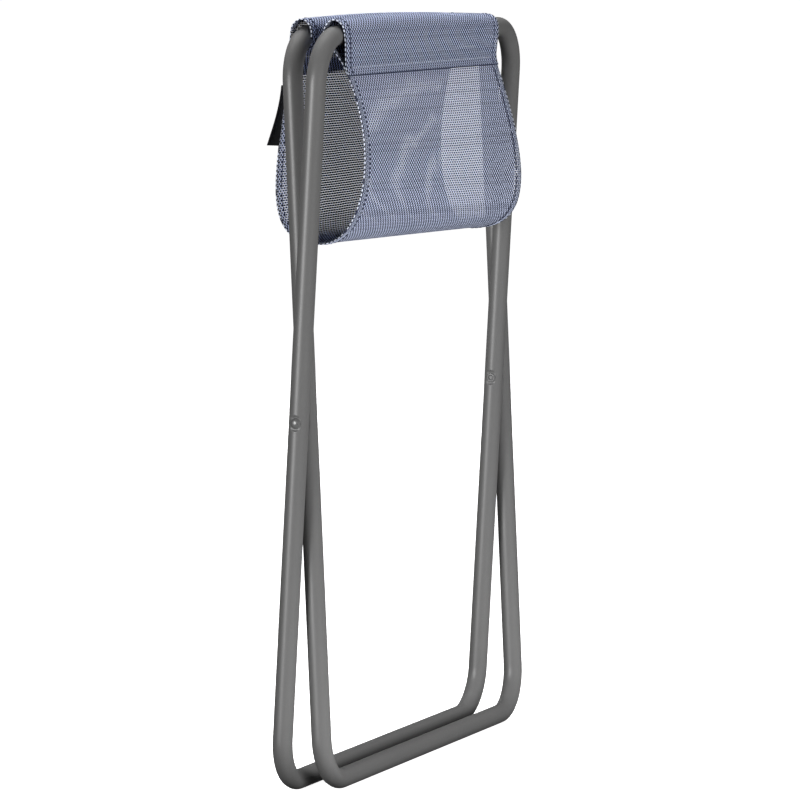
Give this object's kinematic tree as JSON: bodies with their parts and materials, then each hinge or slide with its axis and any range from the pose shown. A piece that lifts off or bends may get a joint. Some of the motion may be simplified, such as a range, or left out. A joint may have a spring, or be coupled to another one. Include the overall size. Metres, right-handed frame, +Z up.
{
  "type": "folding camp stool",
  "caption": "Low folding stool: crossed tubular steel loops on rivets, with a mesh cloth seat sewn round the top bars.",
  "frame": {"origin": "on the ground, midway between the bottom bars of the folded stool", "axes": "+Z up, +X to the right across the stool, -Y the front"},
  "size_m": [0.4712, 0.0811, 0.6116],
  "materials": {
    "frame_paint": "satin grey powder coat",
    "rivet_steel": "satin grey, coated with the frame",
    "spacer": "matt dark grey",
    "raw_steel": "plain drawn steel",
    "seat_cloth": "open mesh weave in white and dark blue threads",
    "label_cloth": "black satin ribbon, blank"
  },
  "bodies": {
    "pivots": {"left_pivot_rivet": "rivet_steel", "right_pivot_rivet": "rivet_steel", "left_spacer_washer": "spacer", "right_spacer_washer": "spacer"},
    "front_frame": {"front_frame_tube": "frame_paint", "front_tube_joint_ferrule": "raw_steel"},
    "back_frame": {"back_frame_tube": "frame_paint", "back_tube_joint_ferrule": "raw_steel"},
    "front_sleeve": {"front_bar_sleeve": "seat_cloth"},
    "front_seat_1": {"front_seat_panel_1": "seat_cloth"},
    "front_seat_2": {"front_seat_panel_2": "seat_cloth"},
    "front_seat_3": {"front_seat_panel_3": "seat_cloth"},
    "front_seat_4": {"front_seat_panel_4": "seat_cloth"},
    "front_seat_5": {"front_seat_panel_5": "seat_cloth"},
    "front_seat_6": {"front_seat_panel_6": "seat_cloth"},
    "back_sleeve": {"back_bar_sleeve": "seat_cloth"},
    "back_seat_1": {"back_seat_panel_1": "seat_cloth", "label_tag": "label_cloth"},
    "back_seat_2": {"back_seat_panel_2": "seat_cloth"},
    "back_seat_3": {"back_seat_panel_3": "seat_cloth"},
    "back_seat_4": {"back_seat_panel_4": "seat_cloth"},
    "back_seat_5": {"back_seat_panel_5": "seat_cloth"},
    "back_seat_6": {"back_seat_panel_6": "seat_cloth"}
  },
  "joints": [
    {"name": "fold", "type": "hinge", "parent": "pivots", "child": "front_frame", "pos_m": [0, 0, 0.29847], "axis": [1, 0, 0], "range_deg": [0, 35.74]},
    {"name": "back_frame_fold", "type": "hinge", "parent": "pivots", "child": "back_frame", "pos_m": [0, 0, 0.29847], "axis": [-1, 0, 0], "range_deg": [0, 35.74]},
    {"name": "front_sleeve_turn", "type": "hinge", "parent": "front_frame", "child": "front_sleeve", "pos_m": [0, -0.01549, 0.60207], "axis": [1, 0, 0], "range_deg": [0, 68.71]},
    {"name": "front_seat_fold_1", "type": "hinge", "parent": "front_sleeve", "child": "front_seat_1", "pos_m": [0, -0.02662, 0.56974], "axis": [1, 0, 0], "range_deg": [-0.47, 0], "deforming": ["front_seat_panel_1"]},
    {"name": "front_seat_fold_2", "type": "hinge", "parent": "front_seat_1", "child": "front_seat_2", "pos_m": [0, -0.03815, 0.53335], "axis": [1, 0, 0], "range_deg": [-8.1, 0], "deforming": ["front_seat_panel_2"]},
    {"name": "front_seat_fold_3", "type": "hinge", "parent": "front_seat_2", "child": "front_seat_3", "pos_m": [0, -0.04331, 0.49893], "axis": [1, 0, 0], "range_deg": [-11.85, 0], "deforming": ["front_seat_panel_3"]},
    {"name": "front_seat_fold_4", "type": "hinge", "parent": "front_seat_3", "child": "front_seat_4", "pos_m": [0, -0.04113, 0.4691], "axis": [1, 0, 0], "range_deg": [-18.7, 0], "deforming": ["front_seat_panel_4"]},
    {"name": "front_seat_fold_5", "type": "hinge", "parent": "front_seat_4", "child": "front_seat_5", "pos_m": [0, -0.03245, 0.44917], "axis": [1, 0, 0], "range_deg": [-25.79, 0], "deforming": ["front_seat_panel_5"]},
    {"name": "front_seat_fold_6", "type": "hinge", "parent": "front_seat_5", "child": "front_seat_6", "pos_m": [0, -0.01977, 0.43848], "axis": [1, 0, 0], "range_deg": [-27.62, 0], "deforming": ["front_seat_panel_6"]},
    {"name": "back_sleeve_turn", "type": "hinge", "parent": "back_frame", "child": "back_sleeve", "pos_m": [0, 0.01549, 0.60207], "axis": [1, 0, 0], "range_deg": [-65.71, 0]},
    {"name": "back_seat_fold_1", "type": "hinge", "parent": "back_sleeve", "child": "back_seat_1", "pos_m": [0, 0.02477, 0.56968], "axis": [1, 0, 0], "range_deg": [0, 7.19], "deforming": ["back_seat_panel_1", "label_tag"]},
    {"name": "back_seat_fold_2", "type": "hinge", "parent": "back_seat_1", "child": "back_seat_2", "pos_m": [0, 0.03027, 0.52981], "axis": [1, 0, 0], "range_deg": [0, 3.37], "deforming": ["back_seat_panel_2"]},
    {"name": "back_seat_fold_3", "type": "hinge", "parent": "back_seat_2", "child": "back_seat_3", "pos_m": [0, 0.03248, 0.49328], "axis": [1, 0, 0], "range_deg": [0, 8.19], "deforming": ["back_seat_panel_3"]},
    {"name": "back_seat_fold_4", "type": "hinge", "parent": "back_seat_3", "child": "back_seat_4", "pos_m": [0, 0.02967, 0.46453], "axis": [1, 0, 0], "range_deg": [0, 16.42], "deforming": ["back_seat_panel_4"]},
    {"name": "back_seat_fold_5", "type": "hinge", "parent": "back_seat_4", "child": "back_seat_5", "pos_m": [0, 0.0222, 0.4466], "axis": [1, 0, 0], "range_deg": [0, 26.05], "deforming": ["back_seat_panel_5"]},
    {"name": "back_seat_fold_6", "type": "hinge", "parent": "back_seat_5", "child": "back_seat_6", "pos_m": [0, 0.0118, 0.4376], "axis": [1, 0, 0], "range_deg": [0, 28.56], "deforming": ["back_seat_panel_6"]}
  ],
  "couplings": [
    {"joint": "back_frame_fold", "follows": "fold", "ratio": 1},
    {"joint": "front_sleeve_turn", "follows": "fold", "ratio": 1.9224},
    {"joint": "front_seat_fold_1", "follows": "fold", "ratio": -0.013133},
    {"joint": "front_seat_fold_2", "follows": "fold", "ratio": -0.22641},
    {"joint": "front_seat_fold_3", "follows": "fold", "ratio": -0.33155},
    {"joint": "front_seat_fold_4", "follows": "fold", "ratio": -0.52319},
    {"joint": "front_seat_fold_5", "follows": "fold", "ratio": -0.72134},
    {"joint": "front_seat_fold_6", "follows": "fold", "ratio": -0.77276},
    {"joint": "back_sleeve_turn", "follows": "fold", "ratio": -1.8383},
    {"joint": "back_seat_fold_1", "follows": "fold", "ratio": 0.20106},
    {"joint": "back_seat_fold_2", "follows": "fold", "ratio": 0.094057},
    {"joint": "back_seat_fold_3", "follows": "fold", "ratio": 0.22912},
    {"joint": "back_seat_fold_4", "follows": "fold", "ratio": 0.45926},
    {"joint": "back_seat_fold_5", "follows": "fold", "ratio": 0.7286},
    {"joint": "back_seat_fold_6", "follows": "fold", "ratio": 0.79897}
  ]
}
